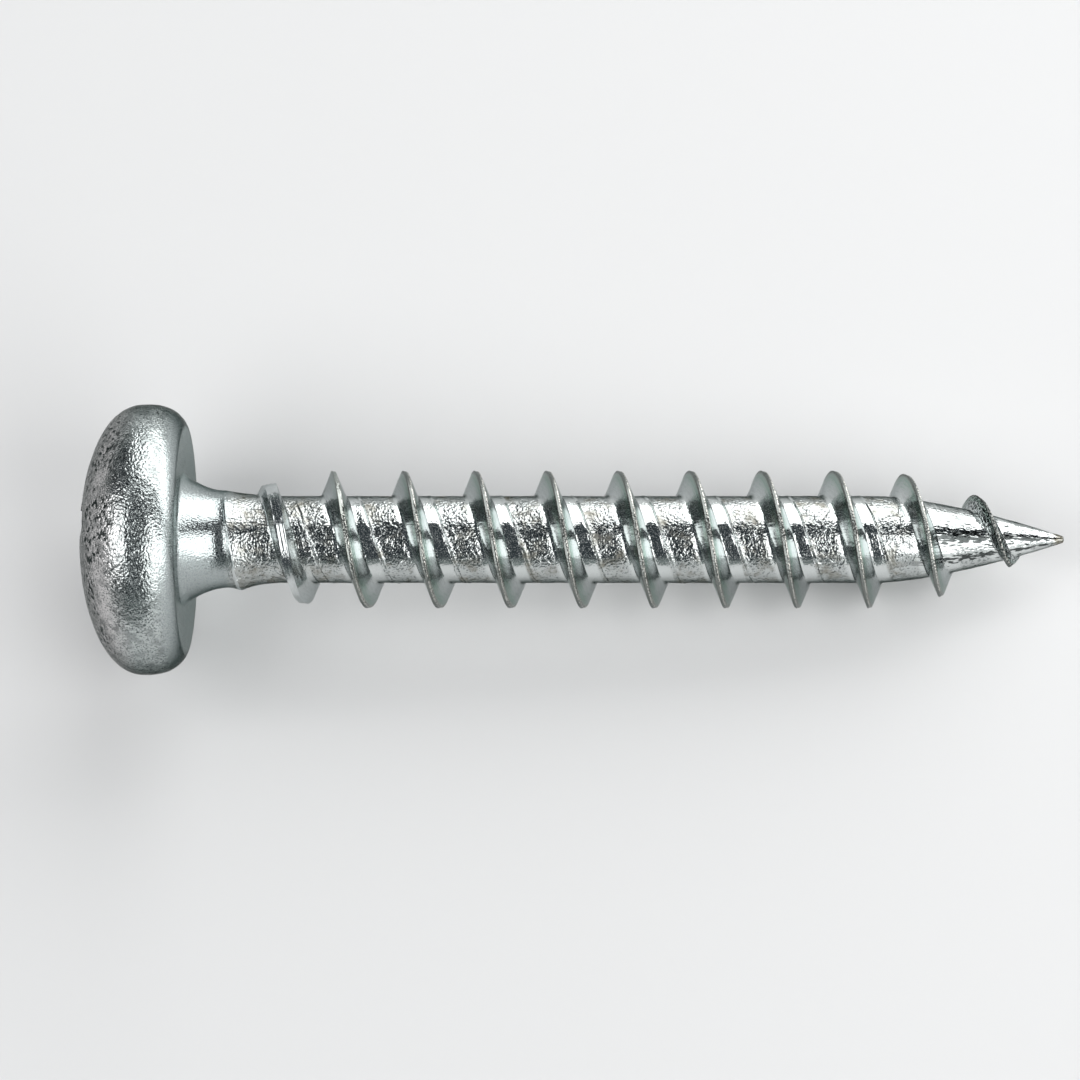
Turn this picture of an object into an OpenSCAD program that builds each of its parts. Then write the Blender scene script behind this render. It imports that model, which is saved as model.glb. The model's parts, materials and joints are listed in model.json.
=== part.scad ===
// Chipboard screw with a pan head, a coarse right-hand thread and a sharp point.
// It is one piece. It lies at rest on a flat surface, on the rim of its head and one thread crest,
// with its head towards -X and its point towards +X.
// Sizes are in millimetres. The origin is on the surface, under the middle of the part.

/* [Head] */
// Diameter of the head
head_d = 7.73; // [7.6:0.01:8]
// Height of the head above its bearing face
head_h = 2.98; // [2.8:0.01:3.2]
// Height of the widest place of the head above its bearing face
rim_h = 1.16; // [1:0.02:1.4]
// Outer diameter of the flat part of the bearing face
bearing_d = 6.5; // [5.6:0.1:6.8]

/* [Drive] */
// Distance across the wings of the cross recess, at the crown
drive_span = 4.4; // [3.8:0.1:4.6]
// Distance across the wings at the foot of the recess
drive_foot = 2.3; // [2.0:0.1:2.6]
// Width of each wing
drive_wing = 0.9; // [0.7:0.05:1]
// Depth of the wings below the crown
drive_depth = 2.1; // [1.6:0.1:2.2]
// Diameter of the round middle of the recess
drive_core = 2.1; // [1.8:0.1:2.2]

/* [Shank] */
// Length from the bearing face to the point
length = 25; // [20:1:40]
// Diameter of the neck at the bearing face
neck_d = 3.68; // [3.2:0.02:4]
// Diameter of the plain blank, where the neck ends
blank_d = 2.74; // [2.7:0.01:2.9]
// Length of the neck
neck_l = 1.3; // [1:0.1:1.6]

/* [Thread] */
// Outer diameter of the thread
thread_d = 3.93; // [3.8:0.01:4.2]
// Diameter of the core between the thread ridges
core_d = 2.48; // [2.3:0.01:2.6]
// Distance from one ridge to the next
pitch = 2.042; // [1.8:0.002:2.4]
// Width of the crest
crest_w = 0.1; // [0.06:0.01:0.2]
// Angle between the two flanks of the ridge
flank_angle = 40; // [35:1:45]
// Length over which the first ridge rises to its full height
run_in = 2.9; // [2:0.1:4]
// Turn of the thread about the screw, from the place where a ridge is a whole number of pitches out
thread_turn = 0; // [0:10:350]
// Sides of the thread in one turn
turn_sides = 36; // [24:12:48]

/* [Point] */
// Length over which the core narrows to the point
point_l = 5.28; // [4.5:0.02:6]
// Diameter of the blunt end
point_d = 0.2; // [0.1:0.02:0.4]
// Length over which the last ridges fade
fade_l = 4.94; // [4:0.02:5.5]
// Length of the point that carries no ridge
bare_l = 0.76; // [0.5:0.02:1]

/* [Hidden] */

head_r = head_d / 2;
bearing_r = bearing_d / 2;
neck_r = neck_d / 2;
blank_r = blank_d / 2;
thread_r = thread_d / 2;
core_r = core_d / 2;
point_r = point_d / 2;

// How full the crown's and the rim's rounding are: 2 is an ellipse, and more is squarer
crown_fullness = [2.21, 2];
rim_fullness = [2.6, 1.5];
// Turn between one point of the head's outline and the next
outline_step = 5;

// The threaded length starts inside the neck, this far back from the neck's end
thread_overlap = 0.3;
thread_start = neck_l - thread_overlap;
// Radius of the core where it leaves the neck, and the length over which it narrows to core_r
root_step = 0.04;
root_l = 1.4;
// Fullness of the point, of the fading ridge and of the rising ridge
point_fullness = 1.5;
fade_fullness = 2;
run_in_fullness = 1.4;
// Width of the first, blunt crest
blunt_w = 0.6;
// The first ridge stands this far nearer the point, up to a distance along the screw, and then less
first_shift = 0.2;
first_shift_end = 3.3;
first_shift_fade = 0.9;
// The ridge's foot is rounded over this share of its height and this width
fillet_h = 0.1;
fillet_w = 0.14;
// The drive recess reaches this far above the crown, and its foot is a cone this deep
recess_over = 1;
recess_cone = 0.5;

// Outline of the head, neck and blank as [radius, distance along the screw from the bearing face]
function quarter(x, full) = pow(1 - pow(x, full[0]), 1 / full[1]);

crown_outline = [
    for (a = [0:outline_step:90])
        [head_r * quarter(cos(a), crown_fullness), -rim_h - (head_h - rim_h) * cos(a)]
];
rim_outline = [
    for (a = [outline_step:outline_step:90])
        [bearing_r + (head_r - bearing_r) * quarter(sin(a), rim_fullness), -rim_h * (1 - sin(a))]
];
neck_outline = [
    for (u = [0:0.125:1])
        [blank_r + (neck_r - blank_r) * pow(1 - u, 2), neck_l * u]
];

// Share of a stretch that starts at zero and is so long, kept from 0 to 1
function share(distance, stretch) = min(1, max(0, distance / stretch));

// Radius of the core at a distance along the screw
function shank_radius(s) =
    core_r + (blank_r - root_step - core_r) * (1 - share(s - neck_l, root_l));
function core_radius(s) =
    let (u = share(s - (length - point_l), point_l))
    point_r + (shank_radius(s) - point_r) * (1 - pow(u, point_fullness));

// Radius of the crest, and the height of the ridge above the core
function crest_radius(s) =
    let (u = share(s - (length - bare_l - fade_l), fade_l))
    thread_r + (core_radius(length - bare_l) - thread_r) * pow(u, fade_fullness);
function ridge_rise(s) = 1 - pow(1 - share(s - neck_l, run_in), run_in_fullness);
function ridge_height(s) =
    s > length - bare_l ? 0 : max(0, crest_radius(s) - core_radius(s)) * ridge_rise(s);

// Half widths of the ridge whose middle is at a distance along the screw
function crest_half(s) = (crest_w + (blunt_w - crest_w) * (1 - ridge_rise(s))) / 2;
function flank_half(s) = crest_half(s) + (1 - fillet_h) * ridge_height(s) * tan(flank_angle / 2);

// The six edges of one ridge, as [distance from its middle, share of its height]
function ridge_edges(s) = [
    [-flank_half(s) - fillet_w, 0],
    [-flank_half(s), fillet_h],
    [-crest_half(s), 1],
    [crest_half(s), 1],
    [flank_half(s), fillet_h],
    [flank_half(s) + fillet_w, 0]
];
edges = 6;

// Ridges are counted from the bearing face, with one more past each end of the thread
first_ridge = -1;
last_ridge = ceil(length / pitch) + 1;
rows = edges * (last_ridge - first_ridge + 1);

// Middle of the ridge after so many turns, along the screw
function ridge_middle(turns) =
    let (even = pitch * (turns - thread_turn / 360))
    even + first_shift * (1 - share(even - first_shift_end, first_shift_fade));

// One point of the thread, on side number j and row number i
function thread_point(j, i) =
    let (
        middle = ridge_middle(j / turn_sides + first_ridge + floor(i / edges)),
        edge = ridge_edges(middle)[i % edges],
        s = min(length, max(thread_start, middle + edge[0])),
        r = core_radius(s) + edge[1] * ridge_height(s),
        a = 360 * j / turn_sides
    )
    [s, r * cos(a), r * sin(a)];

thread_points = [
    for (j = [0:turn_sides - 1])
        for (i = [0:rows - 1])
            thread_point(j, i)
];

// Number of a point. After a whole turn each row meets the one that is a ridge further on.
function number(j, i) = j < turn_sides ? j * rows + i : min(i + edges, rows - 1);

side_faces = [
    for (j = [0:turn_sides - 1])
        for (i = [0:rows - 2])
            each [
                [number(j, i), number(j, i + 1), number(j + 1, i)],
                [number(j + 1, i), number(j, i + 1), number(j + 1, i + 1)]
            ]
];
start_face = [for (j = [0:turn_sides - 1]) number(j, 0)];
end_face = [for (j = [turn_sides - 1:-1:0]) number(j, rows - 1)];

// How deep a point [radius, distance] lies below the bearing face's middle when the axis slopes down
function depth(p, slope) = p[0] * cos(slope) + p[1] * sin(slope);
function head_depth(slope) = max([for (p = concat(crown_outline, rim_outline)) depth(p, slope)]);

// The crest meets the surface on the side that points down, three quarters of a turn on
crest_marks = [
    for (k = [2:last_ridge])
        let (middle = ridge_middle(k + 0.75), s = middle + crest_half(middle))
        if (s < length)
            [core_radius(s) + ridge_height(s), s]
];
function thread_depth(slope) = max([for (p = crest_marks) depth(p, slope)]);

// At rest the axis slopes so far that the thread lies as deep as the rim of the head
function rest_slope(low, high, steps) =
    let (middle = (low + high) / 2)
    steps == 0 ? middle
    : thread_depth(middle) < head_depth(middle) ? rest_slope(middle, high, steps - 1)
    : rest_slope(low, middle, steps - 1);

slope = rest_slope(0, 20, 24);
lift = head_depth(slope);
near_x = min([for (p = crown_outline) p[1] * cos(slope) - p[0] * sin(slope)]);
far_x = length * cos(slope) + point_r * sin(slope);

module head_and_neck() {
    rotate([0, 90, 0])
        rotate_extrude($fn = 96)
            polygon(concat(crown_outline, rim_outline, neck_outline, [[0, neck_l]]));
}

module threaded_shank() {
    polyhedron(thread_points, concat([start_face], side_faces, [end_face]));
}

// One pair of wings of the drive recess, cut down from the crown
module recess_wings() {
    reach = recess_over * (drive_span - drive_foot) / (2 * drive_depth);
    top = drive_span / 2 + reach;
    foot = drive_foot / 2;
    rotate([90, 0, 0])
        linear_extrude(drive_wing, center = true)
            polygon([[-recess_over, -top], [drive_depth, -foot], [drive_depth, foot], [-recess_over, top]]);
}

module drive_recess() {
    translate([-head_h, 0, 0]) {
        for (turn = [0, 90])
            rotate([turn, 0, 0])
                recess_wings();
        rotate([0, 90, 0])
            translate([0, 0, -recess_over])
                cylinder(d = drive_core, h = drive_depth + recess_over, $fn = 48);
        translate([drive_depth, 0, 0])
            rotate([0, 90, 0])
                cylinder(d1 = drive_core, d2 = 0, h = recess_cone, $fn = 48);
    }
}

module screw() {
    color([0.74, 0.77, 0.79])
        translate([-(near_x + far_x) / 2, 0, lift])
            rotate([0, slope, 0])
                difference() {
                    union() {
                        head_and_neck();
                        threaded_shank();
                    }
                    drive_recess();
                }
}

screw();
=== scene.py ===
"""Chipboard screw with a pan head, a coarse right-hand thread and a sharp point, in bright zinc plating.

It is one piece. It is made in its own frame, with X along the screw from the bearing face to the point,
and is then laid where the model has it: at rest on the floor, on the rim of its head and on one crest.
"""

import json
import math
from functools import partial

import bmesh
import bpy
from mathutils import Matrix, Vector, noise


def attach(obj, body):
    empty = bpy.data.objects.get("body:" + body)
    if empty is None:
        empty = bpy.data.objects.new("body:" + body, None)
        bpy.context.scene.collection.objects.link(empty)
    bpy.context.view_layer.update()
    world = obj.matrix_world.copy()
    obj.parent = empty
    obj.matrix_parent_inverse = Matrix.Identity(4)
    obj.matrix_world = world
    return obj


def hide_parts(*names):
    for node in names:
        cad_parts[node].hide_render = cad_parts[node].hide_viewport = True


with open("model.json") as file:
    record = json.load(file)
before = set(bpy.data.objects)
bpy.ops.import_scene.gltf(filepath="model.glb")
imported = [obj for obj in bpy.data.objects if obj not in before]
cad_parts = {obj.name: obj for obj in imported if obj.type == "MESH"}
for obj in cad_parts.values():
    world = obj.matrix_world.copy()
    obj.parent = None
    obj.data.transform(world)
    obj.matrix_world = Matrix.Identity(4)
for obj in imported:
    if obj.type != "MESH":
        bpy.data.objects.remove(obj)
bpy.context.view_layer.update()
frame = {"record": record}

bl_info = {
    "name": "Chipboard screw",
    "version": (1, 0, 0),
    "blender": (4, 5, 0),
    "location": "View3D > Sidebar > Screw",
    "description": "Makes a zinc-plated chipboard screw with a pan head, and a plain studio round it",
    "category": "Add Mesh",
}

MM = 0.001

# Sides of every ring of the screw, so that the neck and the thread share one ring
SIDES = 132

# Turn about the screw, from +Y towards +Z, of the side that is uppermost in the picture
PICTURE_TOP = math.radians(20)

# How full the crown's and the rim's rounding are: 2 is an ellipse, and more is squarer
CROWN_FULLNESS = (2.21, 2.0)
RIM_FULLNESS = (2.6, 1.5)

# Steps from ring to ring along the head's outline. Crowding under 1 brings the rings closer towards
# the end, and over 1 towards the start.
CROWN_STEPS = 48
CROWN_CROWDING = 0.8
RIM_STEPS = 32
FACE_STEPS = 8
NECK_STEPS = 24
NECK_CROWDING = 1.2

# The bearing face is this much lower at the neck than at its edge, and the neck's foot is rounded
FACE_DISH = 0.07 * MM
FOOT_ROUND = 0.02 * MM

# Cold heading leaves the head uneven by this much, in waves of two widths. The waves start over this
# distance from the bearing face, which stays even.
UNEVEN_HEIGHT = 0.012 * MM
UNEVEN_WIDTHS = (0.9 * MM, 0.35 * MM)
UNEVEN_START = 0.3 * MM

# The neck ends in a lip that swings this far along the screw as it goes round. It is pushed outwards,
# more on one side, from this far before it, and the core past it sinks back over this length.
LIP_MIDDLE = 1.345 * MM
LIP_SWING = 0.215 * MM
LIP_RISE = 0.055 * MM
LIP_RISE_SWING = 0.028 * MM
LIP_RUN = 0.45 * MM
LIP_FADE = 0.9 * MM

# The cross recess: how far its room reaches over the crown, how deep the cone at its foot is, how wide
# it is at the crown, and how much its wings and its round middle narrow down to the foot
RECESS_OVER = 0.8 * MM
RECESS_CONE = 0.5 * MM
RECESS_MOUTH = 1.02
WING_TAPER = 0.08
MIDDLE_TAPER = 0.1
RECESS_STEPS = 8

# Turns of the recess's outline from a wing's middle, how square a wing is, and how sharply it meets
# the round middle
RECESS_TURNS = (0, 5, 9, 11, 13, 15, 18, 21, 24, 27, 31, 36, 45)
WING_FULLNESS = 10
RECESS_FULLNESS = 12

# The core is this much thinner than the blank at the neck, and narrows on over this length
ROOT_STEP = 0.04 * MM
ROOT_LENGTH = 1.4 * MM

# Fullness of the point, of the fading ridge and of the rising ridge
POINT_FULLNESS = 1.5
FADE_FULLNESS = 2.0
RUN_IN_FULLNESS = 1.4

# The first ridge stands this much nearer the point. The shift fades between two distances.
FIRST_SHIFT = 0.2 * MM
FIRST_SHIFT_FADE = (3.3 * MM, 4.2 * MM)

# Rows across one ridge and the core up to the next: foot, flank, crest, flank, foot,
# smooth core, fold line, rolled core
ROW_COUNTS = (3, 4, 6, 4, 3, 5, 8, 9)

# The ridge's foot is rounded over this share of its height and this width, and how sharply
FOOT_HEIGHT = 0.1
FOOT_WIDTH = 0.14 * MM
FOOT_FULLNESS = 6.0

# The fold line that rolling leaves on the core: how far it lies past the crest, its width and height,
# and where it starts and ends along the screw
FOLD_MIDDLE = 0.745 * MM
FOLD_SWING = 0.085 * MM
FOLD_WIDTH = 0.13 * MM
FOLD_HEIGHT = 0.012 * MM
FOLD_START = (2.6 * MM, 3.4 * MM)
FOLD_END = (18 * MM, 23 * MM)

# How far the ridge and the fold line waver along the screw, and in how many waves a turn
RIDGE_WAVER = 0.03 * MM
RIDGE_WAVES = 3.1
FOLD_WAVER = 0.09 * MM
FOLD_WAVES = 8.0

# The ridge grows out of the lip over this length
GROW_LENGTH = 0.4 * MM

# Lumps of the rolled surface and nicks in its crest, which deepen between two values of their noise.
# Both end before the point.
LUMP_WIDTH = 0.45 * MM
LUMP_HEIGHT = 0.035 * MM
NICK_WIDTH = 0.12 * MM
NICK_DEPTH = 0.03 * MM
NICK_RANGE = (0.62, 0.75)
LUMPS_END = (24.6 * MM, 24.99 * MM)

# Depth of the groove along the crest and of the three along the blunt first crest, and how far the
# crest is rounded off on its side towards the point
GROOVE_DEPTH = 0.006 * MM
FIRST_GROOVE_DEPTH = 0.018 * MM
CREST_ROUND = 0.022 * MM

# Points closer than this are one, and edges that bend more than this stay sharp
MERGE_DISTANCE = 0.0004 * MM
SHARP_BEND = math.radians(38)

# Rings of the dome that closes the point: distance past the length, and share of the end's radius
POINT_RINGS = ((0.025 * MM, 0.75), (0.04 * MM, 0.4))
POINT_TIP = 0.045 * MM

# Studio: half the floor's width, distance of the lamps, and the places along the screw that the camera
# stands over and looks at, the last one with its height in the picture
FLOOR_HALF_WIDTH = 1.5
LAMP_DISTANCE = 0.15
CAMERA_OVER = 11.255 * MM
CAMERA_AIM = (10.11 * MM, -0.014 * MM)

# Kinds of node. A range takes a value, the two ends that it comes from, and the two that it goes to,
# 0 and 1 unless they are given. One that goes to a share of the surface is kept to where that lies.
# A mix takes a share and the two things that it mixes, the first of which it gives at 0.
MATH = "ShaderNodeMath"
RANGE = "ShaderNodeMapRange"
MIX = "ShaderNodeMix"
NOISE = "ShaderNodeTexNoise"
CELLS = "ShaderNodeTexVoronoi"
VECTOR = "ShaderNodeVectorMath"
COMBINE = "ShaderNodeCombineXYZ"
SEPARATE = "ShaderNodeSeparateXYZ"


def linear(hex_colour):
    """Linear colour, with alpha, of an sRGB hex value such as D2DADA."""
    channels = [int(hex_colour[i : i + 2], 16) / 255 for i in (0, 2, 4)]
    return (*[c / 12.92 if c <= 0.04045 else ((c + 0.055) / 1.055) ** 2.4 for c in channels], 1.0)


def add_node(tree, kind, inputs=(), operation=None, **settings):
    """Adds a node with its operation and settings and returns its first output. Its inputs, by place
    or by name, are values or the outputs of other nodes."""
    node = tree.nodes.new(kind)
    if operation is not None:
        node.operation = operation
    for name, value in settings.items():
        setattr(node, name, value)
    pairs = inputs.items() if isinstance(inputs, dict) else enumerate(inputs)
    open_inputs = [socket for socket in node.inputs if socket.enabled]
    for place, value in pairs:
        if isinstance(place, str):
            socket = next(s for s in open_inputs if s.name == place)
        else:
            socket = open_inputs[place]
        if isinstance(value, bpy.types.NodeSocket):
            tree.links.new(value, socket)
        else:
            socket.default_value = value
    return next((socket for socket in node.outputs if socket.enabled), node)


def length_property(name, description, millimetres):
    """Length that a user can change, from its default in millimetres."""
    return bpy.props.FloatProperty(
        name=name, description=description, default=millimetres * MM, unit="LENGTH", precision=6
    )


def colour_property(name, description, hex_colour):
    """Colour that a user can change, from the sRGB hex value of its default."""
    return bpy.props.FloatVectorProperty(
        name=name, description=description, default=linear(hex_colour)[:3], subtype="COLOR", min=0, max=1
    )


class ScrewHead(bpy.types.PropertyGroup):
    """Sizes of the head and neck."""

    diameter: length_property("Diameter", "Widest diameter of the head", 7.73)
    height: length_property("Height", "Height above the bearing face", 2.98)
    rim_height: length_property("Rim height", "Height of the widest place above the bearing face", 1.16)
    bearing_diameter: length_property("Bearing diameter", "Outer diameter of the flat bearing face", 6.5)
    neck_diameter: length_property("Neck diameter", "Diameter of the neck at the bearing face", 3.68)


class ScrewDrive(bpy.types.PropertyGroup):
    """Sizes of the cross recess."""

    span: length_property("Span", "Distance across the wings at the crown", 4.4)
    foot: length_property("Foot", "Distance across the wings at their foot", 2.3)
    wing: length_property("Wing width", "Width of each wing", 0.9)
    depth: length_property("Depth", "Depth of the wings below the crown", 2.1)
    core: length_property("Core", "Diameter of the round middle", 2.1)


class ScrewShank(bpy.types.PropertyGroup):
    """Sizes of the shank, thread and point."""

    length: length_property("Length", "From the bearing face to the point", 25)
    blank_diameter: length_property("Blank diameter", "Diameter where the neck ends", 2.74)
    neck_length: length_property("Neck length", "Length of the neck", 1.3)
    thread_diameter: length_property("Thread diameter", "Outer diameter", 3.93)
    core_diameter: length_property("Core diameter", "Diameter between the ridges", 2.48)
    pitch: length_property("Pitch", "From one ridge to the next", 2.042)
    crest_width: length_property("Crest width", "Width of the crest", 0.1)
    first_crest_width: length_property("First crest width", "Width of the blunt first crest", 0.6)
    flank_angle: bpy.props.FloatProperty(
        name="Flank angle",
        description="Angle between the two flanks of a ridge",
        default=math.radians(40),
        subtype="ANGLE",
    )
    run_in: length_property("Run-in", "Length over which the first ridge rises", 2.9)
    point_length: length_property("Point length", "Length over which the core narrows", 5.28)
    point_diameter: length_property("Point diameter", "Diameter of the blunt end", 0.2)
    fade_length: length_property("Fade length", "Length over which the last ridges fade", 4.94)
    bare_length: length_property("Bare length", "Length of the point that carries no ridge", 0.76)
    seed: bpy.props.IntProperty(name="Seed", description="Seed of the nicks in the crest", default=4, min=0)


class ZincFinish(bpy.types.PropertyGroup):
    """Colours of the plating."""

    plating: colour_property("Plating", "Colour of the plating on the ridges", "CED2D2")
    core: colour_property("Core", "Colour of the plating on the core", "D4D8D7")
    head: colour_property("Head", "Colour of the plating on the side of the head", "C2C8C7")
    crown: colour_property("Crown", "Colour of the plating on the crown of the head", "D8D5D5")
    # Also laid over the rim towards the bearing face, where its darker tone is painted shade
    neck: colour_property("Neck", "Colour of the plating on the neck and the bearing face", "AEB5B5")
    flank: colour_property("Outer flank", "Colour of the plating high on the flanks", "9FB0A8")
    crest: colour_property("Crest", "Colour of the plating on the crest", "CCCAC4")
    dull: colour_property("Dull places", "Colour of the plating in its pits", "4E5655")
    # The streaks along the point's upper side are partly painted dark reflection
    streak: colour_property("Streaks", "Colour of the darkest flecks, streaks and scales", "262C2B")
    stain: colour_property("Stains", "Colour of the brownish stains on the core", "7A7464")


class StudioStage(bpy.types.PropertyGroup):
    """Floor, lamps and camera."""

    floor_colour: colour_property("Floor", "Colour of the floor", "DADADA")
    room_colour: colour_property("Ceiling", "Colour of the dark ceiling", "40464A")
    wall_colour: colour_property("Wall", "Colour of the wall near the floor", "98A09E")
    lamp_level: bpy.props.FloatProperty(
        name="Lamp level", description="Brightness of the lamps, where 1 is white", default=2.9, min=0
    )
    low_lamp_level: bpy.props.FloatProperty(
        name="Low lamp level", description="Brightness of the dim lamp near the floor", default=0.8, min=0
    )
    camera_distance: length_property("Camera distance", "Distance of the camera from the axis", 104.48)
    camera_lean: bpy.props.FloatProperty(
        name="Camera lean",
        description="Lean of the view from straight above the screw's axis",
        default=math.radians(20),
        subtype="ANGLE",
    )
    lens: bpy.props.FloatProperty(
        name="Lens", description="Focal length in millimetres", default=122.0, min=1
    )


def screw_frame():
    """Matrix from the screw's own frame to the model's: along the screw, sideways, and up from it."""
    mounts = {mount["name"]: mount for mount in frame["record"]["mounts"]}
    face = mounts["bearing_face"]
    along = Vector(face["axis"]).normalized()
    side = Vector((0, 1, 0))
    up = along.cross(side)
    matrix = Matrix((along, side, up)).transposed().to_4x4()
    matrix.translation = Vector((face["pos_m"][0], 0, face["pos_m"][2]))
    return matrix


def quarter(share, fullness):
    """Height of a rounded quarter at a share of its width."""
    return max(0.0, 1 - share ** fullness[0]) ** (1 / fullness[1])


def neck_radius(distance, head, shank):
    """Radius of the neck at a distance from the bearing face."""
    blank = shank.blank_diameter / 2
    share = min(1.0, distance / shank.neck_length)
    return blank + (head.neck_diameter / 2 - blank) * (1 - share) ** 2


def lip_distance(turn):
    """Distance along the screw at which the neck ends, on the side that is turned so far."""
    return LIP_MIDDLE - LIP_SWING * math.cos(turn - PICTURE_TOP)


def lip_rise(turn, distance):
    """How far the thread rolls pushed the neck outwards, towards the lip where it ends."""
    share = max(0.0, 1 - (lip_distance(turn) - distance) / LIP_RUN)
    return (LIP_RISE - LIP_RISE_SWING * math.cos(turn - PICTURE_TOP)) * share**2


def head_rings(head, shank):
    """Rings of the head and neck, from the crown's middle to the lip. Each is a function of the turn
    about the screw, which gives the radius and the distance along the screw."""
    radius = head.diameter / 2
    bearing = head.bearing_diameter / 2
    crown_height = head.height - head.rim_height
    even = []
    for step in range(CROWN_STEPS + 1):
        lean = math.radians(90 * (step / CROWN_STEPS) ** CROWN_CROWDING)
        across = radius * quarter(math.cos(lean), CROWN_FULLNESS)
        even.append((across, -head.rim_height - crown_height * math.cos(lean)))
    for step in range(1, RIM_STEPS + 1):
        lean = math.radians(90 * step / RIM_STEPS)
        across = bearing + (radius - bearing) * quarter(math.sin(lean), RIM_FULLNESS)
        even.append((across, -head.rim_height * (1 - math.sin(lean))))
    foot = neck_radius(-FACE_DISH, head, shank)
    for step in range(1, FACE_STEPS + 1):
        share = step / FACE_STEPS
        even.append((bearing + (foot + FOOT_ROUND - bearing) * share, -FACE_DISH * share))
    rings = [lambda turn, ring=ring: ring for ring in even]
    for step in range(1, NECK_STEPS + 1):
        share = (step / NECK_STEPS) ** NECK_CROWDING

        def neck_ring(turn, share=share):
            distance = (lip_distance(turn) + FACE_DISH) * share - FACE_DISH
            fillet = FOOT_ROUND * max(0.0, 1 - (distance + FACE_DISH) / FOOT_ROUND) ** 2
            return neck_radius(distance, head, shank) + fillet + lip_rise(turn, distance), distance

        rings.append(neck_ring)
    return rings


def head_bmesh(head, shank):
    """Closed mesh of the head and neck. The face that closes it at the lip is the last one."""
    mesh = bmesh.new()
    rings = []
    for outline in head_rings(head, shank):
        corners = []
        for j in range(SIDES):
            turn = math.tau * j / SIDES
            radius, distance = outline(turn)
            place = Vector((distance, radius * math.cos(turn), radius * math.sin(turn)))
            if radius > head.bearing_diameter / 2 or distance < -head.rim_height:
                wide, narrow = (noise.noise(place / width) for width in UNEVEN_WIDTHS)
                uneven = (wide + narrow / 2) * UNEVEN_HEIGHT
                place += place.normalized() * uneven * min(1.0, -distance / UNEVEN_START)
            corners.append(place)
        if corners[0].yz.length < 1e-9:
            rings.append([mesh.verts.new(corners[0])] * SIDES)
        else:
            rings.append([mesh.verts.new(place) for place in corners])
    for near, far in zip(rings, rings[1:]):
        for j in range(SIDES):
            k = (j + 1) % SIDES
            corners = [near[j], far[j], far[k], near[k]]
            if near[j] is near[k]:
                corners = corners[:3]
            mesh.faces.new(corners)
    mesh.faces.new(reversed(rings[-1]))
    bmesh.ops.recalc_face_normals(mesh, faces=mesh.faces)
    return mesh


def recess_outline(span, wing, core):
    """Outline of the cross recess across the screw, rounded where the wings meet its round middle."""
    eighth = [math.radians(turn) for turn in RECESS_TURNS]
    turns = eighth + [math.pi / 2 - turn for turn in reversed(eighth[1:-1])]
    outline = []
    for wing_number in range(4):
        for turn in turns:
            total = (core / 2) ** RECESS_FULLNESS
            for lean in (turn, turn - math.pi / 2):
                across = abs(math.sin(lean)) / (wing / 2)
                along = abs(math.cos(lean)) / (span / 2)
                reach = (across**WING_FULLNESS + along**WING_FULLNESS) ** (-1 / WING_FULLNESS)
                total += reach**RECESS_FULLNESS
            radius = total ** (1 / RECESS_FULLNESS)
            whole = turn + wing_number * math.pi / 2
            outline.append((radius * math.cos(whole), radius * math.sin(whole)))
    return outline


def recess_bmesh(head, drive):
    """Closed mesh of the room that the driver bit takes in the head."""
    mesh = bmesh.new()
    rings = []
    for step in range(RECESS_STEPS + 1):
        depth = -RECESS_OVER + (drive.depth + RECESS_OVER) * step / RECESS_STEPS
        share = depth / drive.depth
        span = drive.span + (drive.foot - drive.span) * share
        wing = drive.wing * (RECESS_MOUTH - WING_TAPER * share)
        core = drive.core * (RECESS_MOUTH - MIDDLE_TAPER * share)
        outline = recess_outline(span, wing, core)
        rings.append([mesh.verts.new((depth - head.height, y, z)) for y, z in outline])
    for near, far in zip(rings, rings[1:]):
        for j in range(len(near)):
            k = (j + 1) % len(near)
            mesh.faces.new((near[j], far[j], far[k], near[k]))
    mesh.faces.new(rings[0])
    foot = mesh.verts.new((drive.depth + RECESS_CONE - head.height, 0, 0))
    for j in range(len(rings[-1])):
        mesh.faces.new((rings[-1][j], foot, rings[-1][(j + 1) % len(rings[-1])]))
    bmesh.ops.recalc_face_normals(mesh, faces=mesh.faces)
    return mesh


def new_object(name, mesh):
    """Object of a bmesh, linked to the scene."""
    data = bpy.data.meshes.new(name)
    mesh.to_mesh(data)
    mesh.free()
    made = bpy.data.objects.new(name, data)
    bpy.context.scene.collection.objects.link(made)
    return made


def discard(thing):
    """Removes an object and its mesh."""
    data = thing.data
    bpy.data.objects.remove(thing)
    bpy.data.meshes.remove(data)


def apply_modifiers(thing):
    """Gives an object the plain mesh that its modifiers make, removes them, and returns the mesh."""
    graph = bpy.context.evaluated_depsgraph_get()
    data = bpy.data.meshes.new_from_object(thing.evaluated_get(graph), depsgraph=graph)
    old = thing.data
    thing.modifiers.clear()
    thing.data = data
    bpy.data.meshes.remove(old)
    return data


class SCREW_OT_head(bpy.types.Operator):
    """Make the turned head and neck, with the cross recess cut into its crown"""

    bl_idname = "screw.head"
    bl_label = "Head and neck"

    def execute(self, context):
        head = context.scene.screw_head
        blank = new_object("head_blank", head_bmesh(head, context.scene.screw_shank))
        recess = new_object("recess_room", recess_bmesh(head, context.scene.screw_drive))
        cut = blank.modifiers.new("Recess", "BOOLEAN")
        cut.operation = "DIFFERENCE"
        cut.solver = "EXACT"
        cut.object = recess
        data = apply_modifiers(blank)
        if not data.polygons:
            raise RuntimeError("the recess couldn't be cut into the head")
        discard(recess)
        mesh = bmesh.new()
        mesh.from_mesh(data)
        ends = [face for face in mesh.faces if len(face.verts) == SIDES and face.calc_center_median().x > 0]
        if len(ends) != 1:
            raise RuntimeError("the neck's end wasn't found")
        bmesh.ops.delete(mesh, geom=ends, context="FACES_ONLY")
        mesh.to_mesh(data)
        mesh.free()
        return {"FINISHED"}


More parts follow.
